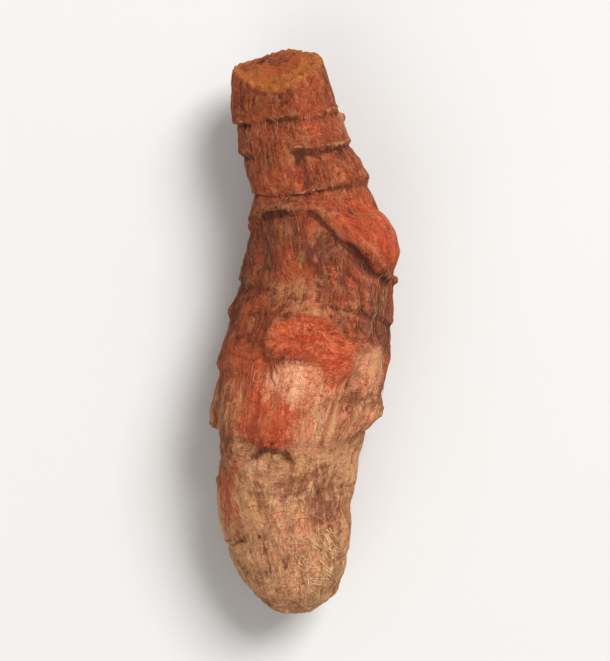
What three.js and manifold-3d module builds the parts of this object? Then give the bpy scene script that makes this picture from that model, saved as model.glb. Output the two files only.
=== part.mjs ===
// A turmeric rhizome: one stout finger as dug and cleaned, lying on its flattest side.
//
// Millimetres. +Z is up, and z = 0 is the surface that it lies on. +Y runs from the rounded growing tip
// to the end that was snapped off the mother rhizome. The origin is below the middle of the outline.
//
// The finger is turned as a plain body, bent along its centreline, and given a ridge and a groove at each
// node. A side knob, buds, the scar of a lost side finger and root stubs are then fused to it.

import * as THREE from "three";
import { mergeVertices } from "three/addons/utils/BufferGeometryUtils.js";
import Module from "manifold-3d";

const wasm = await Module();
wasm.setup();

// Driving dimensions of the finger
const FINGER_LENGTH = 73;
const TIP_ROUNDING = 10; // length over which the growing tip closes
const FLATNESS = 0.9; // height of a cross-section over its width
const REST_DEPTH = 0.7; // how far the belly is flattened where it lies
const BELLY_HALF_WIDTH = 10.8;
const AXIS_HEIGHT = BELLY_HALF_WIDTH * FLATNESS - REST_DEPTH;
const FOOTPRINT_CENTRE = { x: -0.5, y: 37.5 }; // middle of the outline, in the centreline's own measure
const AROUND = 46; // facets round the finger
const STEP = 1.7; // spacing of the facets along it, where they aren't closer at a ring
const TIP_ARC_TURN = 7; // turn in degrees from one row of the tip's facets to the next
const TIP_ARC_SHARE = 0.95; // how near those rows come to the first ring

// Centreline from the tip: x to the side, y along, and rise above the height of the belly's axis
const CENTRELINE = [
  { x: -1.6, y: 0, rise: -0.8 },
  { x: -2.2, y: 9, rise: -0.6 },
  { x: -3.4, y: 18, rise: -0.3 },
  { x: -2.0, y: 27, rise: 0 },
  { x: 0, y: 36, rise: 0 },
  { x: 1.3, y: 46, rise: 0 },
  { x: 0, y: 55, rise: 0.4 },
  { x: -2.2, y: 63, rise: 1.1 },
  { x: -4.2, y: 72, rise: 2.0 },
];

// Half width of the finger at a distance along the centreline from the tip
const GIRTH = [
  { along: 0, half: 7.2 },
  { along: 8, half: 7.3 },
  { along: 12, half: 7.9 },
  { along: 16, half: 8.5 },
  { along: 21, half: 8.7 },
  { along: 25, half: 9.3 },
  { along: 28, half: 10.5 },
  { along: 34, half: BELLY_HALF_WIDTH },
  { along: 43, half: 10.4 },
  { along: 49, half: 9.3 },
  { along: 56, half: 7.6 },
  { along: 63, half: 6.7 },
  { along: FINGER_LENGTH, half: 5.6 },
];

// Node rings: where each crosses the centreline, how far it leans along the finger and to which side,
// how proud its scale edge stands, and the share of that height that is worn away on the upper side.
// A side is an angle round the finger: 0 right, 90 up, 180 left, 270 down.
const NODE_RINGS = [
  { along: 3.2, lean: 0.5, side: 20, ridge: 0.14, worn: 0.4 },
  { along: 7.4, lean: 1.0, side: 10, ridge: 0.18, worn: 0.5 },
  { along: 12.6, lean: 0.7, side: 340, ridge: 0.2, worn: 0.5 },
  { along: 18.0, lean: 0.9, side: 200, ridge: 0.26, worn: 0.6 },
  { along: 26.4, lean: 3.8, side: 308, ridge: 0.55, worn: 0.55 },
  { along: 31.8, lean: 0.9, side: 30, ridge: 0.34, worn: 0.85 },
  { along: 42.0, lean: 1.4, side: 170, ridge: 0.42, worn: 0.7 },
  { along: 50.6, lean: 4.6, side: 140, ridge: 0.45, worn: 0.2 },
  { along: 57.4, lean: 1.2, side: 210, ridge: 0.42, worn: 0.3 },
  { along: 62.6, lean: 0.9, side: 190, ridge: 0.38, worn: 0.3 },
  { along: 67.4, lean: 1.2, side: 240, ridge: 0.34, worn: 0.2 },
];
const SNAPPED_END = { along: FINGER_LENGTH, lean: 2.4, side: 265 };

const RIDGE_WIDTH = 0.5; // from the crest of a ring down to its groove
const RIDGE_TAPER = 1.5; // from the crest to where it runs out into the skin on its other side
const GROOVE_OFFSET = 1.0; // the groove lies on the tip side of its ridge
const GROOVE_WIDTH = 0.65;
const GROOVE_SHARE = 0.6; // depth of a groove over the height of its ridge
const RIDGE_VARIETY = { once: 0.4, thrice: 0.25 }; // shares of its height that come and go round the finger
const RING_WOBBLE = { twice: 0.4, thrice: 0.24 };
const GOLDEN_ANGLE = 137.5; // turn from one ring's wobble to the next one's
const INTERNODE_SWELL = 0.35;

// Lasting lumps of the body: height, lobes round it, turn in degrees and twist in degrees per millimetre
const LUMPS = [
  { height: 0.4, lobes: 2, turn: 52, twist: 5 },
  { height: 0.3, lobes: 3, turn: 0, twist: -12 },
  { height: 0.18, lobes: 5, turn: 115, twist: 19 },
];

// The shoulder that stands out on the right, just above the boldest ring
const SHOULDER = { along: 27.8, reach: 1.4, height: 0.7 };

// The torn flesh of the snapped end: how high it stands at a share of its radius, and its unevenness
const TORN_FACE = [
  { share: 0.93, height: 0.3 },
  { share: 0.75, height: 0 },
  { share: 0.55, height: 0.15 },
  { share: 0.3, height: 0.35 },
  { share: 0, height: 0.2 },
];
const TORN_UNEVENNESS = { height: 1.2, lobes: 2, swirl: 5 };

// Side growths aren't quite round: the share of the radius by which each number of lobes stands out
const OUT_OF_ROUND = [
  { lobes: 2, share: 0.07, turn: 57 },
  { lobes: 3, share: 0.042, turn: 0 },
  { lobes: 5, share: 0.028, turn: 30 },
];
const NECK_NARROWING = 0.25; // from a shoot's full radius to its root
const SHOOT_STEP = 2.5; // spacing of a shoot's facets along it

// The side knob, half sunk in the body and pressed to it. Its rings are measured from its end.
const KNOB = {
  along: 46.8,
  side: 42,
  pitch: 56,
  bury: 4.2,
  radius: 5.5,
  length: 7.8,
  sink: 4,
  rings: [
    { along: 3.6, ridge: 0.2 },
    { along: 7.0, ridge: 0.25 },
  ],
};
const KNOB_FACETS = 28;
const KNOB_ARC_TURN = 12;

// Buds at the nodes, on opposite sides in turn, pressed to the skin and pointing to the tip
const BUDS = [
  { along: 22.8, side: 101, radius: 2.3 },
  { along: 15.6, side: 286, radius: 1.7 },
  { along: 29.4, side: 222, radius: 2.0 },
  { along: 39.6, side: 172, radius: 2.4 },
  { along: 55.0, side: 262, radius: 2.0 },
  { along: 60.4, side: 84, radius: 1.9 },
];
const BUD = { pitch: -74, buryShare: 0.5, lengthShare: 1.3, sinkShare: 0.8, facets: 12, arcTurn: 20 };

// The round scar where a side finger broke off: a low stump with a worn rim and a slightly hollow face
const SCAR = { along: 35.8, side: 89, pitch: -7, radius: 4.8 };
const SCAR_FACETS = 28;

// Its outline from its root to the middle of its face: share of its radius, and height over the skin
const SCAR_OUTLINE = [
  { share: 0, height: -2.8 },
  { share: 1.3, height: -2.8 },
  { share: 1.16, height: -0.3 },
  { share: 1, height: 0.08 },
  { share: 0.9, height: 0.2 },
  { share: 0.74, height: 0 },
  { share: 0.4, height: -0.05 },
  { share: 0, height: 0.1 },
];

// Stubs of cut rootlets, scattered over the sides and the belly. Each range is drawn from evenly.
const ROOT_STUBS = {
  count: 22,
  seed: 11,
  along: [6, 66],
  side: [148, 388],
  radius: [0.6, 1.0],
  length: [0.42, 0.98],
};

// A stub's outline from its foot, sunk in the skin, to the middle of its cut: shares of its radius and length
const STUB_FOOT_SHARE = 1.2;
const STUB_OUTLINE = [
  { share: 1, height: 0.75 },
  { share: 0.65, height: 1 },
  { share: 0, height: 0.8 },
];
const STUB_FACETS = 7;
const STUB_SINK = 1.4;

const FLOOR_BLOCK = { side: 200, depth: 50 }; // cuts away what would lie below the surface
const MERGE_DISTANCE = 1e-4;

const { degToRad: radians, lerp } = THREE.MathUtils;

// A smooth curve of the half width over the distance along the finger
function girthCurve() {
  const distances = GIRTH.map((station) => station.along);
  const halves = GIRTH.map((station) => station.half);
  const curve = new THREE.CubicInterpolant(distances, halves, 1);
  return (along) => curve.evaluate(Math.min(along, FINGER_LENGTH))[0];
}
const girthAt = girthCurve();

const centreline = new THREE.CatmullRomCurve3(
  CENTRELINE.map(
    ({ x, y, rise }) =>
      new THREE.Vector3(x - FOOTPRINT_CENTRE.x, y - FOOTPRINT_CENTRE.y, AXIS_HEIGHT + rise),
  ),
  false,
  "catmullrom",
  0.5,
);

// The centreline's point at a distance from the tip, with the directions along it, to its right and up
function station(along) {
  const share = THREE.MathUtils.clamp(along / FINGER_LENGTH, 0, 1);
  const tangent = centreline.getTangentAt(share);
  const right = new THREE.Vector3().crossVectors(tangent, new THREE.Vector3(0, 0, 1)).normalize();
  const up = new THREE.Vector3().crossVectors(right, tangent);
  const beyond = along - share * FINGER_LENGTH;
  const point = centreline.getPointAt(share).addScaledVector(tangent, beyond);
  return { point, tangent, right, up };
}

// Share of the full radius at a distance from a rounded tip
function tipShare(along, rounding) {
  const rest = 1 - Math.min(along / rounding, 1);
  return Math.sqrt(1 - rest * rest);
}

// A bell-shaped bump of height 1 at a distance of 0
function bell(distance, width) {
  return Math.exp(-((distance / width) ** 2));
}

// How proud a ring stands at an angle: it comes and goes round the finger and is worn on the upper side
function ridgeHeight({ ridge, worn = 0 }, index, angle) {
  const turn = radians(GOLDEN_ANGLE * index);
  const once = RIDGE_VARIETY.once * Math.sin(angle + turn);
  const thrice = RIDGE_VARIETY.thrice * Math.sin(3 * angle + 2 * turn);
  return ridge * (1 + once + thrice) * (1 - worn * Math.max(0, Math.sin(angle)) ** 2);
}

// Ridge and groove that the node rings add to the radius
function ringRelief(along, angle, rings) {
  return rings.reduce((sum, ring, i) => {
    const beyond = along - ring.along;
    const crest = bell(beyond, beyond < 0 ? RIDGE_WIDTH : RIDGE_TAPER);
    const groove = GROOVE_SHARE * bell(beyond + GROOVE_OFFSET, GROOVE_WIDTH);
    return sum + ridgeHeight(ring, i, angle) * (crest - groove);
  }, 0);
}

// Gentle swelling of the body between one ring and the next
function internodeSwell(along) {
  const marks = [0, ...NODE_RINGS.map((ring) => ring.along), FINGER_LENGTH];
  const next = marks.findIndex((mark) => mark > along);
  if (next < 1) return 0;
  return INTERNODE_SWELL * Math.sin((Math.PI * (along - marks[next - 1])) / (marks[next] - marks[next - 1]));
}

// How far a ring is shifted along the finger on one side, by its lean and its wobble
function ringShift({ lean, side }, index, angle) {
  const turn = radians(GOLDEN_ANGLE * index);
  const twice = RING_WOBBLE.twice * Math.sin(2 * angle + turn);
  const thrice = RING_WOBBLE.thrice * Math.sin(3 * angle - turn);
  return lean * Math.cos(angle - radians(side)) + twice + thrice;
}

// The same shift for any distance along the finger, blended between the two rings on either side
function leanAt(along, angle) {
  const rings = [...NODE_RINGS, SNAPPED_END];
  const next = rings.findIndex((ring) => ring.along > along);
  if (next < 0) return ringShift(SNAPPED_END, rings.length - 1, angle);
  const high = ringShift(rings[next], next, angle);
  if (next === 0) return (high * along) / rings[0].along;
  const low = ringShift(rings[next - 1], next - 1, angle);
  return THREE.MathUtils.mapLinear(along, rings[next - 1].along, rings[next].along, low, high);
}

// Height of the lasting lumps and of the shoulder
function lumpAt(along, angle) {
  const lumps = LUMPS.reduce(
    (sum, { height, lobes, turn, twist }) =>
      sum + height * Math.sin(lobes * angle + radians(turn + twist * along)),
    0,
  );
  const shoulder = SHOULDER.height * bell(along - SHOULDER.along, SHOULDER.reach);
  return lumps + shoulder * Math.max(0, Math.cos(angle)) ** 2;
}

// Distances along a body where its profile needs a point: close at each ring, wide between rings
function profileDistances(rings, length, step) {
  const atRings = rings.flatMap((ring) => [
    ring.along - GROOVE_OFFSET - GROOVE_WIDTH,
    ring.along - GROOVE_OFFSET,
    ring.along - RIDGE_WIDTH / 2,
    ring.along,
    ring.along + RIDGE_TAPER,
  ]);
  const marks = [...atRings.filter((mark) => mark > 0 && mark < length), length];
  const between = marks.slice(1).flatMap((mark, i) => {
    const count = Math.max(1, Math.round((mark - marks[i]) / step));
    return Array.from({ length: count - 1 }, (_, k) => marks[i] + ((mark - marks[i]) * (k + 1)) / count);
  });
  return [...marks, ...between].sort((a, b) => a - b);
}

// Distances from a rounded tip to the next point of the profile, spaced by equal turns of its arc in degrees
function tipDistances(rounding, end, arcTurn) {
  const count = Math.floor(90 / arcTurn);
  const arc = Array.from({ length: count }, (_, i) => rounding * (1 - Math.cos(radians(arcTurn * i))));
  return arc.filter((distance) => distance < end * TIP_ARC_SHARE);
}

// The same shape as a solid that can be joined and cut
function solid(geometry) {
  geometry.deleteAttribute("normal");
  geometry.deleteAttribute("uv");
  const merged = mergeVertices(geometry, MERGE_DISTANCE);
  return new wasm.Manifold(
    new wasm.Mesh({
      numProp: 3,
      vertProperties: new Float32Array(merged.attributes.position.array),
      triVerts: new Uint32Array(merged.index.array),
    }),
  );
}

// The plain body before it is bent, standing on its tip, with the torn face at its top
function turnedFinger() {
  const rings = profileDistances(NODE_RINGS, FINGER_LENGTH, STEP);
  const skin = [...tipDistances(TIP_ROUNDING, rings[0], TIP_ARC_TURN), ...rings].map(
    (along) => new THREE.Vector2(girthAt(along) * tipShare(along, TIP_ROUNDING), along),
  );
  const face = TORN_FACE.map(
    ({ share, height }) => new THREE.Vector2(girthAt(FINGER_LENGTH) * share, FINGER_LENGTH + height),
  );
  return new THREE.LatheGeometry([...skin, ...face], AROUND);
}

// Unevenness of the torn face, which fades out at its edge and in its middle
function tornHeight(share, angle) {
  const { height, lobes, swirl } = TORN_UNEVENNESS;
  return height * share * Math.max(0, 1 - share) * Math.sin(lobes * angle + swirl * share);
}

// The body bent along its centreline, a little flattened, with its rings and lumps
function bentFinger() {
  const geometry = turnedFinger();
  const position = geometry.attributes.position;
  const place = new THREE.Vector3();
  for (let i = 0; i < position.count; i++) {
    const along = position.getY(i);
    const radius = Math.hypot(position.getX(i), position.getZ(i));
    const angle = Math.atan2(position.getZ(i), position.getX(i));
    const share = radius / girthAt(along);
    const relief = ringRelief(along, angle, NODE_RINGS) + internodeSwell(along) + lumpAt(along, angle);
    const reach = radius + relief * share;
    const torn = along >= FINGER_LENGTH ? tornHeight(share, angle) : 0;
    const at = station(along + leanAt(along, angle) * share + torn);
    place
      .copy(at.point)
      .addScaledVector(at.right, reach * Math.cos(angle))
      .addScaledVector(at.up, reach * Math.sin(angle) * FLATNESS);
    position.setXYZ(i, place.x, place.y, place.z);
  }
  return geometry;
}

// A turned shape that isn't quite round
function turnedGrowth(profile, facets) {
  const geometry = new THREE.LatheGeometry(profile, facets);
  const position = geometry.attributes.position;
  for (let i = 0; i < position.count; i++) {
    const [x, y, z] = [position.getX(i), position.getY(i), position.getZ(i)];
    const angle = Math.atan2(z, x);
    const out = OUT_OF_ROUND.reduce(
      (sum, { lobes, share, turn }) => sum + share * Math.sin(lobes * angle + radians(turn)),
      1,
    );
    position.setXYZ(i, x * out, y, z * out);
  }
  return geometry;
}

// Plants a turned shape on the skin: its y = 0 comes to the surface, or below it by the depth that it is
// buried, and its axis points outwards, tilted along the finger by the pitch
function planted(profile, facets, { along, side, pitch = 0, bury = 0 }) {
  const at = station(along);
  const outward = new THREE.Vector3()
    .addScaledVector(at.right, Math.cos(radians(side)))
    .addScaledVector(at.up, Math.sin(radians(side)) * FLATNESS);
  const reach = girthAt(along) * tipShare(along, TIP_ROUNDING) + lumpAt(along, radians(side)) - bury;
  const foot = at.point.clone().addScaledVector(outward, reach);
  const heading = outward
    .normalize()
    .multiplyScalar(Math.cos(radians(pitch)))
    .addScaledVector(at.tangent, Math.sin(radians(pitch)));
  const turn = new THREE.Quaternion().setFromUnitVectors(new THREE.Vector3(0, 1, 0), heading);
  const place = new THREE.Matrix4().compose(foot, turn, new THREE.Vector3(1, 1, 1));
  return solid(turnedGrowth(profile, facets).applyMatrix4(place));
}

// Profile of a short shoot from its root to its domed end, narrower towards the root
function shootProfile({ radius, length, sink, rings = [] }, arcTurn) {
  const total = length + sink;
  const marks = profileDistances(rings, total, SHOOT_STEP);
  const fromEnd = [...tipDistances(length, marks[0], arcTurn), ...marks];
  const body = fromEnd.map((distance) => {
    const neck = 1 - NECK_NARROWING * (distance / total) ** 2;
    const full = radius * neck + ringRelief(distance, 0, rings);
    return new THREE.Vector2(full * tipShare(distance, length), length - distance);
  });
  return [...body, new THREE.Vector2(0, -sink)].reverse();
}

// The side knob on the shoulder
function plantedKnob() {
  return planted(shootProfile(KNOB, KNOB_ARC_TURN), KNOB_FACETS, KNOB);
}

// The buds, each a low dome of which a little under half stands out of the skin
function plantedBuds() {
  return BUDS.map(({ along, side, radius }) => {
    const size = { radius, length: radius * BUD.lengthShare, sink: radius * BUD.sinkShare };
    const place = { along, side, pitch: BUD.pitch, bury: radius * BUD.buryShare };
    return planted(shootProfile(size, BUD.arcTurn), BUD.facets, place);
  });
}

// The low stump of the lost side finger, with a worn rim round its slightly hollow face
function plantedScar() {
  const profile = SCAR_OUTLINE.map(({ share, height }) => new THREE.Vector2(SCAR.radius * share, height));
  return planted(profile, SCAR_FACETS, SCAR);
}

// A repeatable source of numbers from 0 to 1
function seededRandom(seed) {
  let state = seed;
  return () => {
    state = (state * 16807) % 2147483647;
    return state / 2147483647;
  };
}

// The rootlet stubs, one in each equal stretch of the finger
function plantedStubs() {
  const random = seededRandom(ROOT_STUBS.seed);
  return Array.from({ length: ROOT_STUBS.count }, (_, i) => {
    const along = lerp(...ROOT_STUBS.along, (i + random()) / ROOT_STUBS.count);
    const side = lerp(...ROOT_STUBS.side, random());
    const radius = lerp(...ROOT_STUBS.radius, random());
    const length = lerp(...ROOT_STUBS.length, random());
    const foot = [0, radius * STUB_FOOT_SHARE].map((reach) => new THREE.Vector2(reach, -STUB_SINK));
    const above = STUB_OUTLINE.map(({ share, height }) => new THREE.Vector2(radius * share, length * height));
    return planted([...foot, ...above], STUB_FACETS, { along, side });
  });
}

// The whole rhizome in one body, cut flat where it lies
function rhizomeSolid() {
  const growths = [plantedKnob(), plantedScar(), ...plantedBuds(), ...plantedStubs()];
  const whole = growths.reduce((body, growth) => body.add(growth), solid(bentFinger()));
  const { side, depth } = FLOOR_BLOCK;
  return whole.subtract(solid(new THREE.BoxGeometry(side, side, depth).translate(0, 0, -depth / 2)));
}

const { vertProperties, triVerts } = rhizomeSolid().getMesh();
const geometry = new THREE.BufferGeometry();
geometry.setAttribute("position", new THREE.BufferAttribute(vertProperties, 3));
geometry.setIndex(new THREE.BufferAttribute(triVerts, 1));
geometry.computeVertexNormals();

const skin = new THREE.MeshStandardMaterial({ color: 0xb47a45, roughness: 0.8, metalness: 0 });
const rhizome = new THREE.Mesh(geometry, skin);
rhizome.name = "rhizome";

const root = new THREE.Group();
root.add(rhizome);
export default root;
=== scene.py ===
"""A turmeric rhizome lying on a pale floor, seen from straight above.

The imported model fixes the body. This script gives it its skin, with wrinkles, worn node rings and a
mottled scar, and adds the ragged edges and the loose fibres of the old scale leaves. Lengths are in
millimetres up to the point where a mesh goes into the scene, which is in metres, as the studio is.
"""

from __future__ import annotations

import logging
import math
import random
from collections.abc import Mapping, Sequence
from dataclasses import dataclass, field
from enum import Enum
from typing import Any

import bpy
import numpy as np
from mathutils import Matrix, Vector, noise
from mathutils.bvhtree import BVHTree

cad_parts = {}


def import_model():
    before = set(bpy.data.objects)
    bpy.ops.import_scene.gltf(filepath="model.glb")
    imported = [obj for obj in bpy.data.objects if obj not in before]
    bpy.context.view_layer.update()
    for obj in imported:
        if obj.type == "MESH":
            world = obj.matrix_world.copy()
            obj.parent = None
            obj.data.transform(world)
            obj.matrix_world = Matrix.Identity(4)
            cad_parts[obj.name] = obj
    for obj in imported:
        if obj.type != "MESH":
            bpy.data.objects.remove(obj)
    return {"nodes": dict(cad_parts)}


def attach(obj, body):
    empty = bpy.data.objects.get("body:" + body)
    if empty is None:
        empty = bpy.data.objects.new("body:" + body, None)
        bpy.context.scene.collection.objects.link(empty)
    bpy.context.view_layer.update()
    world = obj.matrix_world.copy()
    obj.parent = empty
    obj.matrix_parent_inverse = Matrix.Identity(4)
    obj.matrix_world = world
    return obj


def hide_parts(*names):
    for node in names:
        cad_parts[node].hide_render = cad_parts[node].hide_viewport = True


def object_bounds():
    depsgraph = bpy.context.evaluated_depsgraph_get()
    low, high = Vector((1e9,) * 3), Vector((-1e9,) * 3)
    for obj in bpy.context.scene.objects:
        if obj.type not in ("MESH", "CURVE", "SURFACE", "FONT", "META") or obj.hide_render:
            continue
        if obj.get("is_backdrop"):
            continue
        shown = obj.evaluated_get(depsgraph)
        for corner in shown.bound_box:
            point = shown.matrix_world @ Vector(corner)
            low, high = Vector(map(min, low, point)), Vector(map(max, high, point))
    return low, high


LOG = logging.getLogger("turmeric")
MM = 0.001
BODY = "root"
CAD_NODE = "rhizome"
# How far apart two noises with neighbouring seeds are read
NOISE_STEP = 17.31
# The sockets of a Mix node that hold colours
MIX_FIRST = 6
MIX_SECOND = 7
MIX_RESULT = 2

Array = np.ndarray
Colour = tuple[float, float, float]
Span = tuple[float, float]
Sizes = tuple[float, float, float]


class Mark(Enum):
    """What a vertex of the skin carries, read by the skin's finish."""

    GRAIN = "grain"
    OLD = "old"
    TAN = "tan"
    ORANGE = "orange"
    PALE = "pale"
    DARK = "dark"
    # HOLLOW and RING lead the painted shade, CREST the crests' painted highlight and wear
    HOLLOW = "hollow"
    CREST = "crest"
    RING = "ring"
    SCAR = "scar"
    ROOT_SCAR = "root_scar"
    FLESH = "flesh"
    CORE = "core"


class Wire:
    """A value in a node tree that can be used in Python arithmetic, which adds Math nodes."""

    def __init__(self, tree: ShaderTree, socket: bpy.types.NodeSocket) -> None:
        """Keeps the tree and the output socket that holds the value."""
        self.tree = tree
        self.socket = socket

    def _math(self, operation: str, *values: Wire | float) -> Wire:
        """Adds a Math node.

        Args:
            operation: The node's operation.
            values: What goes into its sockets, in order.

        Returns:
            The node's result.
        """
        return self.tree.node("ShaderNodeMath", {"operation": operation}, dict(enumerate(values)))

    def __add__(self, other: Wire | float) -> Wire:
        """self + other."""
        return self._math("ADD", self, other)

    def __radd__(self, other: float) -> Wire:
        """other + self."""
        return self._math("ADD", other, self)

    def __sub__(self, other: Wire | float) -> Wire:
        """self - other."""
        return self._math("SUBTRACT", self, other)

    def __rsub__(self, other: float) -> Wire:
        """other - self."""
        return self._math("SUBTRACT", other, self)

    def __mul__(self, other: Wire | float) -> Wire:
        """self * other."""
        return self._math("MULTIPLY", self, other)

    def __rmul__(self, other: float) -> Wire:
        """other * self."""
        return self._math("MULTIPLY", other, self)

    def swing(self, size: float) -> Wire:
        """A noise's swing round its middle value, multiplied by a size."""
        return (self - 0.5) * size

    def rise(self, low: float, high: float) -> Wire:
        """Turns the value into a smooth step.

        Args:
            low: The value at which the step is 0.
            high: The value at which the step is 1. It may be below low, for a fall.

        Returns:
            The step, from 0 to 1.
        """
        settings = {"interpolation_type": "SMOOTHSTEP"}
        values = {"Value": self, "From Min": low, "From Max": high}
        return self.tree.node("ShaderNodeMapRange", settings, values)


@dataclass(frozen=True)
class Texture:
    """Shader noise: lumps to the millimetre along each axis, finer layers, and how far it is warped."""

    per_mm: Sizes
    detail: float
    roughness: float
    warp: float = 0.0


class ShaderTree:
    """The node tree of one material, built node by node."""

    def __init__(self, name: str) -> None:
        """Starts an empty tree.

        Args:
            name: The material's name.
        """
        self.material = bpy.data.materials.new(name)
        self.material.use_nodes = True
        self.tree = self.material.node_tree
        self.tree.nodes.clear()

    def node(
        self,
        kind: str,
        settings: Mapping[str, Any] | None = None,
        values: Mapping[str | int, Any] | None = None,
        output: str | int = 0,
    ) -> Wire:
        """Adds a node.

        Args:
            kind: The node's type.
            settings: Its properties.
            values: Numbers, colours or wires for its input sockets.
            output: The output socket that is wanted.

        Returns:
            That output.
        """
        made = self.tree.nodes.new(kind)
        for key, value in (settings or {}).items():
            setattr(made, key, value)
        for key, value in (values or {}).items():
            if isinstance(value, Wire):
                self.tree.links.new(value.socket, made.inputs[key])
            else:
                made.inputs[key].default_value = value
        return Wire(self, made.outputs[output])

    def mark(self, mark: Mark) -> Wire:
        """A number that the skin's vertices carry."""
        return self.node("ShaderNodeAttribute", {"attribute_name": mark.value}, output="Fac")

    def vector_mark(self, mark: Mark) -> Wire:
        """A vector that the skin's vertices carry."""
        return self.node("ShaderNodeAttribute", {"attribute_name": mark.value}, output="Vector")

    def object_place(self) -> Wire:
        """The place in the object's own coordinates, in millimetres."""
        place = self.node("ShaderNodeTexCoord", output="Object")
        return self.stretched(place, (1.0 / MM,) * 3)

    def stretched(self, vector: Wire, factors: Sequence[float]) -> Wire:
        """A vector multiplied by a factor for each axis."""
        return self.node("ShaderNodeVectorMath", {"operation": "MULTIPLY"}, {0: vector, 1: tuple(factors)})

    def noise(self, place: Wire, texture: Texture) -> Wire:
        """Smooth noise round 0.5.

        Args:
            place: Where it is read, in millimetres.
            texture: Its lumps.

        Returns:
            The noise, mostly from 0.25 to 0.75.
        """
        values = {
            "Vector": self.stretched(place, texture.per_mm),
            "Scale": 1.0,
            "Detail": texture.detail,
            "Roughness": texture.roughness,
            "Distortion": texture.warp,
        }
        return self.node("ShaderNodeTexNoise", None, values)

    def mix(self, share: Wire | float, first: Any, second: Any, blend: str = "MIX") -> Wire:
        """Mixes two colours.

        Args:
            share: How much of the second colour there is, from 0 to 1.
            first: The first colour or wire.
            second: The second colour or wire.
            blend: How they mix.

        Returns:
            The mixed colour.
        """
        settings = {"data_type": "RGBA", "blend_type": blend, "clamp_factor": True}
        values = {0: share, MIX_FIRST: self._opaque(first), MIX_SECOND: self._opaque(second)}
        return self.node("ShaderNodeMix", settings, values, output=MIX_RESULT)

    @staticmethod
    def _opaque(colour: Any) -> Any:
        """A colour with its alpha, or the wire as it is."""
        return colour if isinstance(colour, Wire) else (*colour, 1.0)

    def bump(self, height: Wire, depth: float, strength: float = 1.0) -> Wire:
        """A bumped normal.

        Args:
            height: The relief, from 0 to 1.
            depth: What a height of 1 stands for, in millimetres.
            strength: How much of it shows.

        Returns:
            The normal.
        """
        values = {"Strength": strength, "Distance": depth * MM, "Height": height}
        return self.node("ShaderNodeBump", None, values)

    def finish(self, values: Mapping[str, Any]) -> bpy.types.Material:
        """Ends the tree in a Principled shader.

        Args:
            values: The shader's colour, roughness and the rest.

        Returns:
            The material.
        """
        shader = self.node("ShaderNodeBsdfPrincipled", None, values)
        self._link_output(shader)
        return self.material

    def _link_output(self, shader: Wire) -> None:
        """Adds the output node and links the shader to it."""
        output = self.tree.nodes.new("ShaderNodeOutputMaterial")
        self.tree.links.new(shader.socket, output.inputs["Surface"])


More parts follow.
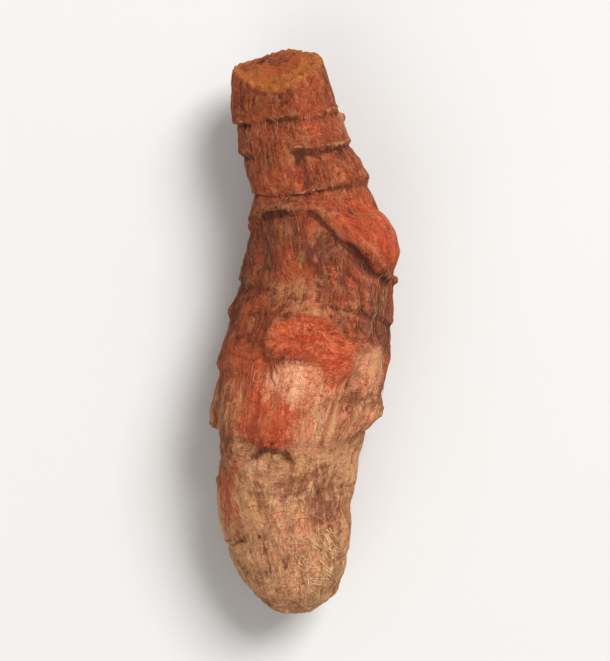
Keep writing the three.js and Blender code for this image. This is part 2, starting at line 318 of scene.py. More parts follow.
@dataclass(frozen=True)
class RootSkinFinish:
    """Dry, matt root skin: tan to brown, streaked along the finger, orange where it is rubbed or scarred."""

    tan: Colour = (0.57, 0.26, 0.12)
    light_tan: Colour = (0.73, 0.46, 0.24)
    straw: Colour = (0.52, 0.29, 0.11)
    plum: Colour = (0.2, 0.05, 0.034)
    brown: Colour = (0.28, 0.084, 0.03)
    old_skin: Colour = (0.36, 0.066, 0.021)
    old_brown: Colour = (0.13, 0.025, 0.009)
    old_tan: Colour = (0.52, 0.175, 0.07)
    red: Colour = (0.42, 0.045, 0.014)
    orange: Colour = (0.6, 0.11, 0.035)
    pale: Colour = (0.84, 0.42, 0.24)
    # Pale orange: pale skin, and the painted highlights on the scar
    pale_orange: Colour = (0.7, 0.23, 0.115)
    # A near black brown: painted shade in the hollows and creases, and the dark rims of the root scars
    soil_and_shade: Colour = (0.085, 0.021, 0.009)
    root_scar: Colour = (0.36, 0.13, 0.055)
    flesh: Colour = (0.6, 0.165, 0.022)
    dry_flesh: Colour = (0.3, 0.075, 0.018)
    streaks: Texture = Texture((1.2, 1.2, 0.2), 5.0, 0.62, 0.4)
    fibres: Texture = Texture((3.6, 3.6, 0.6), 4.0, 0.62, 1.0)
    clouds: Texture = Texture((0.3, 0.3, 0.22), 3.0, 0.6, 0.5)
    mottling: Texture = Texture((1.0, 1.0, 0.75), 5.0, 0.68, 1.2)
    specks: Texture = Texture((4.8, 4.8, 4.0), 3.0, 0.62)
    cross_wrinkles: Texture = Texture((0.55, 0.55, 1.25), 3.0, 0.55, 0.8)
    long_wrinkles: Texture = Texture((1.1, 1.1, 0.42), 3.0, 0.55, 0.8)
    yellow_blotches: Texture = Texture((0.62, 0.62, 0.5), 4.0, 0.62, 0.6)
    purple_blotches: Texture = Texture((0.47, 0.53, 0.4), 4.0, 0.62, 0.6)
    network_shade: float = 0.55
    roughness: float = 0.76
    smoother_where_rubbed: float = 0.12
    rougher_on_fibres: float = 0.16
    gloss: float = 0.22
    relief: float = 0.42
    relief_strength: float = 0.8

    def material(self) -> bpy.types.Material:
        """Builds the material.

        Returns:
            The material, which reads every mark of the skin.
        """
        tree = ShaderTree("root_skin")
        grain = tree.vector_mark(Mark.GRAIN)
        textures = (self.streaks, self.fibres, self.clouds, self.mottling, self.specks)
        streak, fibre, cloud, mottle, speck = (tree.noise(grain, texture) for texture in textures)
        network = self._network(tree, grain)
        colour = self._bare_skin(tree, streak, fibre, cloud, mottle)
        colour = self._patches(tree, colour, streak, mottle, fibre)
        colour = self._hues(tree, colour, grain)
        colour = self._scar(tree, colour, mottle, speck)
        colour = self._creases(tree, colour, fibre, mottle, speck)
        # Painted shade: the colour is darkened towards brown along the fine wrinkles
        wrinkle_shade = network * (mottle.rise(0.4, 0.6) * self.network_shade)
        colour = tree.mix(wrinkle_shade, colour, self.brown, "MULTIPLY")
        colour = self._wounds(tree, colour, mottle, speck)
        height = fibre * 0.45 + mottle * 0.45 + speck * 0.35 - network * 0.3
        rubbed = tree.mark(Mark.ORANGE) + tree.mark(Mark.SCAR)
        roughness = self.roughness - self.smoother_where_rubbed * rubbed + self.rougher_on_fibres * fibre
        return tree.finish(
            {
                "Base Color": colour,
                "Roughness": roughness,
                "Specular IOR Level": self.gloss,
                "Normal": tree.bump(height, self.relief, self.relief_strength),
            }
        )

    def _network(self, tree: ShaderTree, grain: Wire) -> Wire:
        """Fine wrinkles that cross each other, where one of two noises passes its middle value.

        Args:
            tree: The material's nodes.
            grain: The place on the straightened finger.

        Returns:
            The wrinkles, 0 between them.
        """
        across = tree.noise(grain, self.cross_wrinkles)
        lengthways = tree.noise(grain, self.long_wrinkles)
        first = across.rise(0.465, 0.5) * (1.0 - across.rise(0.5, 0.535))
        second = lengthways.rise(0.47, 0.5) * (1.0 - lengthways.rise(0.5, 0.53))
        return first * 0.8 + second * 0.7

    def _bare_skin(self, tree: ShaderTree, streak: Wire, fibre: Wire, cloud: Wire, mottle: Wire) -> Wire:
        """The bare skin, tan at the young end and browner and redder towards the old one.

        Args:
            tree: The material's nodes.
            streak: Noise drawn out along the finger.
            fibre: Finer noise drawn out along it.
            cloud: Coarse noise.
            mottle: Medium noise.

        Returns:
            The colour.
        """
        old = tree.mark(Mark.OLD)
        tanned = tree.mark(Mark.TAN)
        uneven = cloud.swing(1.8) + streak.swing(1.9) + mottle.swing(1.7)
        shade = (uneven * 1.3 + tree.mark(Mark.DARK) * 0.65 + old * 0.06 + 0.22).rise(0.0, 0.95)
        young_skin = tree.mix(shade, self.tan, self.brown)
        old_skin = tree.mix(shade, self.old_skin, self.old_brown)
        age = old - tanned * 0.9 + mottle.swing(1.2) + cloud.swing(0.6)
        skin = tree.mix(age.rise(0.05, 0.7), young_skin, old_skin)
        plain = 0.75 - 0.5 * tree.mark(Mark.ORANGE) - 0.25 * old + 0.25 * tanned
        lighter = fibre.rise(0.46, 0.66) * mottle.rise(0.4, 0.62) * plain
        return tree.mix(lighter, skin, tree.mix(old, self.light_tan, self.old_tan))

    def _patches(self, tree: ShaderTree, skin: Wire, streak: Wire, mottle: Wire, fibre: Wire) -> Wire:
        """Rubbed patches, orange or pale, with broken edges; the pale ones near the tip are partly painted
        light.

        Args:
            tree: The material's nodes.
            skin: The colour so far.
            streak: Noise drawn out along the finger.
            mottle: Medium noise.
            fibre: Finer noise drawn out along the finger.

        Returns:
            The colour with the patches.
        """
        rubbed = (tree.mark(Mark.ORANGE) * 1.15 + mottle.swing(2.4) + streak.swing(1.6)).rise(0.35, 0.95)
        orange = tree.mix((mottle * 0.5 + streak * 0.5).rise(0.43, 0.6), self.red, self.orange)
        coloured = tree.mix(rubbed * 0.85, skin, orange)
        # Pale patches: rubbed bare skin, and partly painted light on the top near the tip
        pale_cover = (tree.mark(Mark.PALE) * 1.1 + mottle.swing(2.6) + fibre.swing(1.2)).rise(0.3, 1.05)
        pale = tree.mix((streak * 0.6 + mottle * 0.4).rise(0.42, 0.58), self.pale, self.pale_orange)
        return tree.mix(pale_cover * 0.9, coloured, pale)

    def _hues(self, tree: ShaderTree, skin: Wire, grain: Wire) -> Wire:
        """Blotches in which the skin is yellower or more purple.

        Args:
            tree: The material's nodes.
            skin: The colour so far.
            grain: The place on the straightened finger.

        Returns:
            The colour with the blotches.
        """
        yellow = tree.noise(grain, self.yellow_blotches)
        yellow_share = yellow.rise(0.5, 0.72) * (0.5 - 0.2 * tree.mark(Mark.OLD))
        purple = tree.noise(grain, self.purple_blotches) + tree.mark(Mark.DARK) * 0.16
        return tree.mix(purple.rise(0.54, 0.74) * 0.55, tree.mix(yellow_share, skin, self.straw), self.plum)

    def _scar(self, tree: ShaderTree, colour: Wire, mottle: Wire, speck: Wire) -> Wire:
        """The face of the round scar, red and orange in small cells, with painted highlights of pale orange.

        Args:
            tree: The material's nodes.
            colour: The colour so far.
            mottle: Medium noise.
            speck: Fine noise.

        Returns:
            The colour with the scar.
        """
        face = tree.mix((mottle * 0.7 + speck * 0.3).rise(0.42, 0.58), self.red, self.orange)
        # Painted highlight: pale orange glints speckled over the scar's cells
        glint = tree.mix((speck * 0.5 + mottle * 0.5).rise(0.5, 0.62) * 0.6, face, self.pale_orange)
        inside = (tree.mark(Mark.SCAR) * 1.3 + mottle.swing(1.5)).rise(0.4, 0.9)
        return tree.mix(inside * 0.9, colour, glint)

    def _creases(self, tree: ShaderTree, colour: Wire, fibre: Wire, mottle: Wire, speck: Wire) -> Wire:
        """Painted shade in the hollows and on the ring, bud and furrow lines, and crests lightened partly by
        wear and partly as painted highlight.

        Args:
            tree: The material's nodes.
            colour: The colour so far.
            fibre: Noise drawn out along the finger.
            mottle: Medium noise.
            speck: Fine noise.

        Returns:
            The colour with the creases.
        """
        # Painted highlight and wear: the crests are lightened towards light tan
        worn = tree.mark(Mark.CREST).rise(0.1, 0.9) * fibre.rise(0.36, 0.6) * 0.5
        lit = tree.mix(worn, colour, tree.mix(tree.mark(Mark.OLD), self.light_tan, self.old_tan))
        # Painted shade: the hollows and the lines of the rings, buds and furrows are darkened towards a near
        # black brown
        hollow_shade = (tree.mark(Mark.HOLLOW) + tree.mark(Mark.RING)) * 0.85 + fibre.swing(1.2) + mottle.swing(1.0)
        shaded = tree.mix(hollow_shade.rise(0.2, 1.15) * 0.84, lit, self.soil_and_shade)
        return tree.mix(speck.rise(0.58, 0.7) * 0.45, shaded, self.brown, "MULTIPLY")

    def _wounds(self, tree: ShaderTree, colour: Wire, mottle: Wire, speck: Wire) -> Wire:
        """The scars of the rootlets and the snapped end.

        Args:
            tree: The material's nodes.
            colour: The colour so far.
            mottle: Medium noise.
            speck: Fine noise.

        Returns:
            The colour with the wounds.
        """
        scar = tree.mark(Mark.ROOT_SCAR)
        rimmed = tree.mix((scar + mottle.swing(0.8)).rise(0.2, 0.7) * 0.45, colour, self.soil_and_shade)
        scarred = tree.mix((scar + mottle.swing(1.2)).rise(0.6, 1.0) * 0.6, rimmed, self.root_scar)
        torn = tree.mix((mottle * 0.6 + speck * 0.4).rise(0.38, 0.62), self.dry_flesh, self.flesh)
        stringy = tree.mix(speck.rise(0.52, 0.7) * 0.55, torn, self.light_tan)
        core = tree.mark(Mark.CORE) + mottle.swing(0.6)
        cored = tree.mix(core.rise(0.3, 0.7) * 0.4, stringy, self.red)
        ringed = tree.mix(core.rise(0.25, 0.5) * (1.0 - core.rise(0.5, 0.75)) * 0.6, cored, self.dry_flesh)
        dusty = tree.mix((mottle + speck - 0.5).rise(0.5, 0.75) * 0.5, ringed, self.brown, "MULTIPLY")
        return tree.mix(tree.mark(Mark.FLESH), scarred, dusty)


@dataclass(frozen=True)
class FibreFinish:
    """Dry plant fibre, streaked along its length."""

    name: str
    dark: Colour
    light: Colour
    patches: Texture = Texture((0.9, 0.9, 0.9), 4.0, 0.6)
    threads: Texture = Texture((5.4, 1.44, 5.4), 3.0, 0.6, 0.4)
    relief: float = 0.12
    relief_strength: float = 0.6

    def material(self) -> bpy.types.Material:
        """Builds the material.

        Returns:
            The material, which reads object coordinates.
        """
        tree = ShaderTree(self.name)
        place = tree.object_place()
        patch = tree.noise(place, self.patches)
        thread = tree.noise(place, self.threads)
        tone = (patch * 0.7 + thread * 0.5).rise(0.47, 0.74)
        return tree.finish(
            {
                "Base Color": tree.mix(tone, self.dark, self.light),
                "Roughness": 0.9 - 0.15 * thread,
                "Specular IOR Level": 0.3,
                "Normal": tree.bump(thread, self.relief, self.relief_strength),
            }
        )


@dataclass(frozen=True)
class FloorFinish:
    """A plain pale matt floor, with faint clouds."""

    colour: Colour = (0.7, 0.69, 0.675)
    darkest: float = 0.97
    clouds: Texture = Texture((0.012, 0.012, 0.012), 2.0, 0.5)

    def material(self) -> bpy.types.Material:
        """Builds the material.

        Returns:
            The material.
        """
        tree = ShaderTree("pale_floor")
        cloud = tree.noise(tree.object_place(), self.clouds)
        shade = tree.mix(cloud, self.colour, tuple(self.darkest * part for part in self.colour))
        return tree.finish({"Base Color": shade, "Roughness": 0.85, "Specular IOR Level": 0.25})


def select_only(piece: bpy.types.Object) -> None:
    """Makes one object the only one that is selected, and the active one.

    Args:
        piece: The object.
    """
    bpy.ops.object.select_all(action="DESELECT")
    piece.select_set(True)
    bpy.context.view_layer.objects.active = piece


def apply_modifier(piece: bpy.types.Object, kind: str, **settings: Any) -> None:
    """Adds a modifier to a piece and applies it.

    Args:
        piece: The object.
        kind: The modifier's type.
        settings: Its properties.
    """
    select_only(piece)
    modifier = piece.modifiers.new(kind.lower(), kind)
    for key, value in settings.items():
        setattr(modifier, key, value)
    bpy.ops.object.modifier_apply(modifier=modifier.name)


def read_places(mesh: bpy.types.Mesh) -> Array:
    """Reads the places of a mesh's vertices.

    Args:
        mesh: The mesh.

    Returns:
        The places, one row each, in millimetres.
    """
    flat = np.empty(len(mesh.vertices) * 3, np.float32)
    mesh.vertices.foreach_get("co", flat)
    return flat.reshape(-1, 3).astype(float) / MM


def write_places(mesh: bpy.types.Mesh, places: Array) -> None:
    """Moves a mesh's vertices to these places, one row each, in millimetres."""
    mesh.vertices.foreach_set("co", (places * MM).astype(np.float32).ravel())
    mesh.update()


def read_normals(mesh: bpy.types.Mesh) -> Array:
    """Reads the normals of a mesh's vertices.

    Args:
        mesh: The mesh.

    Returns:
        The normals, one row each.
    """
    flat = np.empty(len(mesh.vertices) * 3, np.float32)
    mesh.vertices.foreach_get("normal", flat)
    return flat.reshape(-1, 3).astype(float)


@dataclass(frozen=True)
class Ripple:
    """Smooth noise: the size of its lumps along each axis, which of many noises it is, and its height."""

    sizes: Sizes | float
    seed: int
    height: float = 1.0

    def at(self, places: Array) -> Array:
        """The noise at each place, at most about its height."""
        rows = places / np.array(self.sizes) + NOISE_STEP * self.seed
        return self.height * np.array([noise.noise(row) for row in rows.tolist()])


def layered(ripples: Sequence[Ripple], places: Array) -> Array:
    """The sum of several noises at each place."""
    return sum(ripple.at(places) for ripple in ripples)


def bell(distance: Array, width: float) -> Array:
    """A bump of height 1 at a distance of 0."""
    return np.exp(-((distance / width) ** 2))


def smooth_step(value: Array, low: float, high: float) -> Array:
    """A smooth step from 0 at low to 1 at high."""
    share = np.clip((value - low) / (high - low), 0.0, 1.0)
    return share * share * (3.0 - 2.0 * share)


def turn_from(angle: Array, centre: float) -> Array:
    """The shorter turn from a centre to each angle, in radians."""
    return (angle - centre + math.pi) % (2 * math.pi) - math.pi


def circle(angle: Array, level: float) -> Array:
    """Places on a circle of radius 1, on which a noise closes on itself."""
    return np.column_stack([np.cos(angle), np.sin(angle), np.full_like(angle, level)])


@dataclass(frozen=True)
class Patch:
    """An oval of the skin.

    It says where its middle lies along and round the finger, half its length along it, half its width round
    it, and its strength.
    """

    along: float
    side: float
    reach: float
    breadth: float
    strength: float = 1.0


@dataclass(frozen=True)
class Bud:
    """A bud on the skin, as in the part's source."""

    along: float
    side: float
    radius: float


@dataclass(frozen=True)
class NodeRing:
    """A ring where a scale leaf grew, as in the part's source.

    It says where the ring crosses the centreline, how far it leans, how proud it stands, and the share of
    that which is worn away on the upper side. The side is the angle to which it leans: 0 right, 90 up and
    180 left.
    """

    along: float
    lean: float
    side: float
    ridge: float
    worn: float = 0.0


@dataclass(frozen=True)
class SkinSpots:
    """Where places lie on the finger.

    It holds the distance along with the lean taken out, the angle, the straight distance from the tip, and
    the share of the body's radius at which a place lies, which is 1 or a little less except at the ends.
    """

    along: Array
    angle: Array
    reach: Array
    share: Array


@dataclass
class Finger:
    """The skin's own coordinates: the distance along from the tip and the angle round the centreline.

    An angle is 0 on the right, 90 degrees on top and 180 on the left. The girth holds distances and half
    widths, and the centreline's points are x, y and height, both as in the part's source. Each field that
    ends in step holds the values at which a smooth step is 0 and at which it is 1.
    """

    flatness: float = 0.9
    rest_depth: float = 0.7
    footprint_centre: Span = (-0.5, 37.5)
    wobble: float = 0.4
    golden_angle: float = math.radians(137.5)
    grain_radius: float = 9.0
    fullness: float = 1.15
    trace_step: float = 0.1
    overrun: float = 8.0
    samples_a_span: int = 60
    reach_rounds: int = 5
    lean_rounds: int = 4
    ring_level: float = 2.9
    ring_gaps: Ripple = Ripple((0.9, 0.9, 1.0), 41)
    gap_step: Span = (-0.25, 0.3)
    least_presence: float = 0.15
    patch_step: Span = (1.35, 0.35)
    girth: tuple[Span, ...] = (
        (0.0, 7.2),
        (8.0, 7.3),
        (12.0, 7.9),
        (16.0, 8.5),
        (21.0, 8.7),
        (25.0, 9.3),
        (28.0, 10.5),
        (34.0, 10.8),
        (43.0, 10.4),
        (49.0, 9.3),
        (56.0, 7.6),
        (63.0, 6.7),
        (73.0, 5.6),
    )
    centreline: tuple[Sizes, ...] = (
        (-1.6, 0.0, -0.8),
        (-2.2, 9.0, -0.6),
        (-3.4, 18.0, -0.3),
        (-2.0, 27.0, 0.0),
        (0.0, 36.0, 0.0),
        (1.3, 46.0, 0.0),
        (0.0, 55.0, 0.4),
        (-2.2, 63.0, 1.1),
        (-4.2, 72.0, 2.0),
    )
    rings: tuple[NodeRing, ...] = (
        NodeRing(3.2, 0.5, 20, 0.14, 0.4),
        NodeRing(7.4, 1.0, 10, 0.18, 0.5),
        NodeRing(12.6, 0.7, 340, 0.2, 0.5),
        NodeRing(18.0, 0.9, 200, 0.26, 0.6),
        NodeRing(26.4, 3.8, 308, 0.55, 0.55),
        NodeRing(31.8, 0.9, 30, 0.34, 0.85),
        NodeRing(42.0, 1.4, 170, 0.42, 0.7),
        NodeRing(50.6, 4.6, 140, 0.45, 0.2),
        NodeRing(57.4, 1.2, 210, 0.42, 0.3),
        NodeRing(62.6, 0.9, 190, 0.38, 0.3),
        NodeRing(67.4, 1.2, 240, 0.34, 0.2),
    )
    snapped_end: NodeRing = NodeRing(73.0, 2.4, 265, 0.0)
    bare_spots: tuple[Patch, ...] = (
        Patch(49.5, 40, 6.0, 8.0),
        Patch(26.4, 72, 2.0, 4.5),
        Patch(26.4, 114, 2.0, 5.5),
    )
    buds: tuple[Bud, ...] = (
        Bud(22.8, 101, 2.3),
        Bud(15.6, 286, 1.7),
        Bud(29.4, 222, 2.0),
        Bud(39.6, 172, 2.4),
        Bud(55.0, 262, 2.0),
        Bud(60.4, 84, 1.9),
    )
    distances: Array = field(init=False, repr=False)
    path: Array = field(init=False, repr=False)
    tangents: Array = field(init=False, repr=False)

    def __post_init__(self) -> None:
        """Traces the centreline once, in even steps, a little past both ends."""
        step = self.trace_step
        knots = np.array(self.centreline)
        knots -= (*self.footprint_centre, -self.axis_height)
        path = self._spline(knots)
        reached = np.concatenate([[0.0], np.cumsum(np.linalg.norm(np.diff(path, axis=0), axis=1))])
        reached *= self.length / reached[-1]
        even = np.arange(0.0, self.length + step / 10, step)
        traced = np.column_stack([np.interp(even, reached, path[:, axis]) for axis in range(3)])
        before = traced[0] - traced[1]
        after = traced[-1] - traced[-2]
        beyond = np.arange(step, self.overrun, step)[:, None] / step
        self.distances = np.concatenate([-beyond[::-1, 0] * step, even, even[-1] + beyond[:, 0] * step])
        self.path = np.vstack([traced[0] + beyond[::-1] * before, traced, traced[-1] + beyond * after])
        self.tangents = np.gradient(self.path, axis=0)
        self.tangents /= np.linalg.norm(self.tangents, axis=1)[:, None]

    @property
    def length(self) -> float:
        """The distance from the tip to the snapped end."""
        return self.snapped_end.along

    @property
    def axis_height(self) -> float:
        """The centreline's height over the surface that the flattened belly rests on."""
        return max(half for _, half in self.girth) * self.flatness - self.rest_depth

    def _spline(self, knots: Array) -> Array:
        """A uniform Catmull-Rom curve.

        Args:
            knots: The points that it passes through, one row each.

        Returns:
            The points along it.
        """
        ends = [2 * knots[0] - knots[1], *knots, 2 * knots[-1] - knots[-2]]
        share = np.linspace(0.0, 1.0, self.samples_a_span, endpoint=False)[:, None]
        spans = []
        for first, start, stop, last in zip(ends, ends[1:], ends[2:], ends[3:]):
            leave, arrive = (stop - first) / 2, (last - start) / 2
            spans.append(
                (2 * share**3 - 3 * share**2 + 1) * start
                + (share**3 - 2 * share**2 + share) * leave
                + (3 * share**2 - 2 * share**3) * stop
                + (share**3 - share**2) * arrive
            )
        return np.vstack([*spans, knots[-1:]])

    def station(self, reach: Array) -> tuple[Array, Array, Array, Array]:
        """The centreline at these distances from the tip.

        Args:
            reach: The distances.

        Returns:
            The points, and the directions along the finger, to its right and up, one row each.
        """

        def read(table: Array) -> Array:
            """Reads a table of rows at the distances."""
            return np.column_stack([np.interp(reach, self.distances, table[:, axis]) for axis in range(3)])

        tangent = read(self.tangents)
        tangent /= np.linalg.norm(tangent, axis=1)[:, None]
        right = np.cross(tangent, (0.0, 0.0, 1.0))
        right /= np.linalg.norm(right, axis=1)[:, None]
        return read(self.path), tangent, right, np.cross(right, tangent)

    def ring_shift(self, index: int, angle: Array) -> Array:
        """How far a ring is shifted along the finger, by its lean and its wobble.

        Args:
            index: Which ring it is, from the tip. The last is the snapped end.
            angle: The angles at which it is read.

        Returns:
            The shift at each angle.
        """
        ring = (*self.rings, self.snapped_end)[index]
        turn = self.golden_angle * index
        wobble = np.sin(2 * angle + turn) + 0.6 * np.sin(3 * angle - turn)
        return ring.lean * np.cos(angle - math.radians(ring.side)) + self.wobble * wobble

    def ring_presence(self, index: int, angle: Array) -> Array:
        """How much of a ring's scale edge is left.

        Args:
            index: Which ring it is, from the tip.
            angle: The angles at which it is read.

        Returns:
            The share that is left at each angle.
        """
        ring = self.rings[index]
        kept = smooth_step(self.ring_gaps.at(circle(angle, self.ring_level * index)), *self.gap_step)
        worn = ring.worn * np.maximum(0.0, np.sin(angle)) ** 2
        rubbed = sum(self.cover(np.full_like(angle, ring.along), angle, spot) for spot in self.bare_spots)
        left = self.least_presence + (1.0 - self.least_presence) * kept
        return left * (1.0 - worn) * (1.0 - np.minimum(1.0, 3.0 * rubbed))

    def lean(self, along: Array, angle: Array) -> Array:
        """The shift at any distance, blended between the rings on either side.

        Args:
            along: The distances.
            angle: The angles.

        Returns:
            The shift at each place.
        """
        marks = [0.0, *(ring.along for ring in self.rings), self.length]
        shifts = [np.zeros_like(angle)]
        shifts += [self.ring_shift(index, angle) for index in range(len(self.rings) + 1)]
        total = np.zeros_like(angle)
        for low, high, before, after in zip(marks, marks[1:], shifts, shifts[1:]):
            share = (along - low) / (high - low)
            inside = (share >= 0) & (share < 1)
            total = np.where(inside, before + share * (after - before), total)
        return np.where(along >= self.length, shifts[-1], total)

    def locate(self, places: Array) -> SkinSpots:
        """Finds where places lie on the finger.

        Args:
            places: One row each, in millimetres.

        Returns:
            Their skin coordinates.
        """
        reach = np.interp(places[:, 1], self.path[:, 1], self.distances)
        for _ in range(self.reach_rounds):
            point, tangent, _, _ = self.station(reach)
            reach = reach + np.einsum("ij,ij->i", places - point, tangent)
            reach = np.clip(reach, self.distances[0], self.distances[-1])
        point, _, right, up = self.station(reach)
        across = np.einsum("ij,ij->i", places - point, right)
        above = np.einsum("ij,ij->i", places - point, up) / self.flatness
        angle = np.arctan2(above, across)
        along = reach.copy()
        for _ in range(self.lean_rounds):
            along = reach - self.lean(along, angle)
        half = np.interp(along, *np.transpose(self.girth))
        share = np.clip(self.fullness * np.hypot(across, above) / half, 0.0, 1.0)
        return SkinSpots(along, angle, reach, share)

    def outward(self, along: Array, angle: Array) -> tuple[Array, Array]:
        """The directions out from the centreline.

        Args:
            along: The distances along the finger.
            angle: The angles round it.

        Returns:
            The centreline's points and the directions out from them, one row each.
        """
        point, _, right, up = self.station(along + self.lean(along, angle))
        out = right * np.cos(angle)[:, None] + up * (np.sin(angle) * self.flatness)[:, None]
        return point, out / np.linalg.norm(out, axis=1)[:, None]

    def grain(self, along: Array, angle: Array, share: Array | float = 1.0) -> Array:
        """Places on a straight round finger, where a pattern can be stretched along the third axis."""
        radius = self.grain_radius * share
        return np.column_stack([radius * np.cos(angle), radius * np.sin(angle), along])

    def cover(self, along: Array, angle: Array, patch: Patch) -> Array:
        """How far a patch covers the skin.

        Args:
            along: The distances of the places.
            angle: The angles of the places.
            patch: The oval.

        Returns:
            The patch's strength in its middle and 0 outside, for each place.
        """
        turn = turn_from(angle, math.radians(patch.side))
        away = np.hypot((along - patch.along) / patch.reach, turn * self.grain_radius / patch.breadth)
        return patch.strength * smooth_step(away, *self.patch_step)


@dataclass(frozen=True)
class RootStubs:
    """Where rootlets were cut, one in each equal stretch of the finger, drawn as in the part's source."""

    count: int = 22
    seed: int = 11
    multiplier: int = 16807
    modulus: int = 2147483647
    first: float = 6.0
    last: float = 66.0
    from_side: float = 148.0
    to_side: float = 388.0
    radius: float = 0.8
    unevenness: float = 0.5

    def spots(self) -> list[tuple[float, float, float]]:
        """Draws the stubs.

        Returns:
            The straight distance from the tip, the angle in radians and the radius of each stub.
        """
        state = self.seed

        def draw() -> float:
            """Draws a number.

            Returns:
                The next number from 0 to 1.
            """
            nonlocal state
            state = state * self.multiplier % self.modulus
            return state / self.modulus

        found = []
        for index in range(self.count):
            reach = self.first + (self.last - self.first) * (index + draw()) / self.count
            side = self.from_side + (self.to_side - self.from_side) * draw()
            radius = self.radius * (1.0 + self.unevenness * (draw() - 0.5))
            # The fourth number is the stub's length, which its scar doesn't need
            draw()
            found.append((reach, math.radians(side), radius))
        return found


@dataclass(frozen=True)
class Fold:
    """A furrow, or a ridge where its depth is negative, along a path of distances and sides."""

    path: tuple[Span, ...]
    width: float
    depth: float
    fading: float = 0.18
    least: float = 0.25

    def nearness(self, along: Array, angle: Array, radius: float) -> Array:
        """How near each place is to the path.

        Args:
            along: The distances of the places along the finger.
            angle: Their angles round it.
            radius: What turns an angle into a length.

        Returns:
            1 on the path, falling to 0 beyond its width, and fading towards its ends.
        """
        knots = np.array([(reach, math.radians(side) * radius) for reach, side in self.path])
        across = (angle + math.pi / 2) % (2 * math.pi) - math.pi / 2
        spots = np.column_stack([along, across * radius])
        nearest = np.full(len(along), np.inf)
        share = np.zeros(len(along))
        for index, (start, stop) in enumerate(zip(knots, knots[1:])):
            leg = stop - start
            reached = np.clip((spots - start) @ leg / (leg @ leg), 0.0, 1.0)
            away = np.linalg.norm(spots - start - reached[:, None] * leg, axis=1)
            share = np.where(away < nearest, (index + reached) / (len(knots) - 1), share)
            nearest = np.minimum(nearest, away)
        fade = smooth_step(share, 0.0, self.fading) * smooth_step(share, 1.0, 1.0 - self.fading)
        return bell(nearest, self.width) * (self.least + (1.0 - self.least) * fade)


# The patches of the skin that have a colour of their own
PATCHES: Mapping[Mark, tuple[Patch, ...]] = {
    Mark.SCAR: (
        Patch(36.0, 102, 2.6, 3.2),
        Patch(36.9, 90, 3.2, 3.4),
        Patch(35.4, 77, 3.0, 2.8, 0.95),
        Patch(32.9, 68, 2.6, 2.1, 0.85),
    ),
    Mark.TAN: (
        Patch(28.0, 46, 5.5, 8.0),
        Patch(34.0, 37, 4.5, 4.6, 0.8),
        Patch(58.0, 80, 5.0, 8.0, 0.4),
        Patch(41.0, 96, 3.4, 6.5, 0.6),
        Patch(27.0, 146, 4.2, 5.0, 0.9),
        Patch(46.0, 250, 8.0, 10.0, 0.8),
        Patch(62.0, 10, 8.0, 6.0, 0.6),
        Patch(36.0, 190, 7.0, 6.0, 0.6),
    ),
    Mark.ORANGE: (
        Patch(50.8, 46, 4.4, 4.8),
        Patch(28.2, 106, 3.8, 5.0, 0.85),
        Patch(43.6, 70, 4.0, 3.0, 0.5),
        Patch(32.0, 128, 3.4, 3.4, 0.5),
        Patch(53.5, 84, 4.0, 4.5, 0.45),
        Patch(60.0, 105, 6.0, 3.5, 0.4),
        Patch(66.5, 70, 4.0, 3.0, 0.5),
        Patch(17.0, 150, 4.5, 2.8, 0.7),
        Patch(20.8, 134, 3.2, 4.4, 0.5),
        Patch(22.0, 250, 4.0, 4.0, 0.6),
        Patch(45.0, 200, 5.0, 4.0, 0.5),
        Patch(60.0, 300, 4.0, 3.5, 0.5),
        Patch(34.0, 275, 4.5, 5.0, 0.5),
    ),
    Mark.PALE: (
        Patch(31.0, 88, 2.7, 5.4, 0.95),
        Patch(35.0, 40, 4.0, 3.4, 0.6),
        Patch(31.5, 43, 1.2, 2.6, 0.9),
        Patch(27.0, 66, 2.8, 5.0, 0.75),
        Patch(28.0, 38, 2.2, 2.4, 0.5),
        Patch(40.8, 94, 2.0, 4.0, 0.3),
        Patch(34.0, 56, 2.6, 2.4, 0.6),
        # Partly painted light: these two pale patches also brighten the top near the tip, which faces away
        # from the key light
        Patch(11.5, 90, 5.5, 5.5, 0.6),
        Patch(4.8, 78, 3.0, 5.0, 0.7),
        Patch(36.0, 230, 4.0, 4.0, 0.4),
        Patch(55.0, 20, 4.0, 3.0, 0.3),
    ),
    Mark.DARK: (
        Patch(14.5, 48, 7.0, 4.2, 0.75),
        Patch(7.5, 44, 3.0, 2.6, 0.6),
        Patch(23.4, 100, 1.6, 5.0, 0.6),
        Patch(19.0, 84, 3.4, 6.0, 0.8),
        Patch(22.0, 155, 9.0, 3.0, 0.5),
        Patch(46.5, 78, 4.2, 4.4, 0.9),
        Patch(42.5, 58, 3.6, 4.2, 0.6),
        Patch(42.0, 30, 5.0, 4.6, 0.85),
        Patch(44.0, 150, 9.0, 5.0, 0.6),
        Patch(30.0, 270, 20.0, 8.0, 0.4),
    ),
}


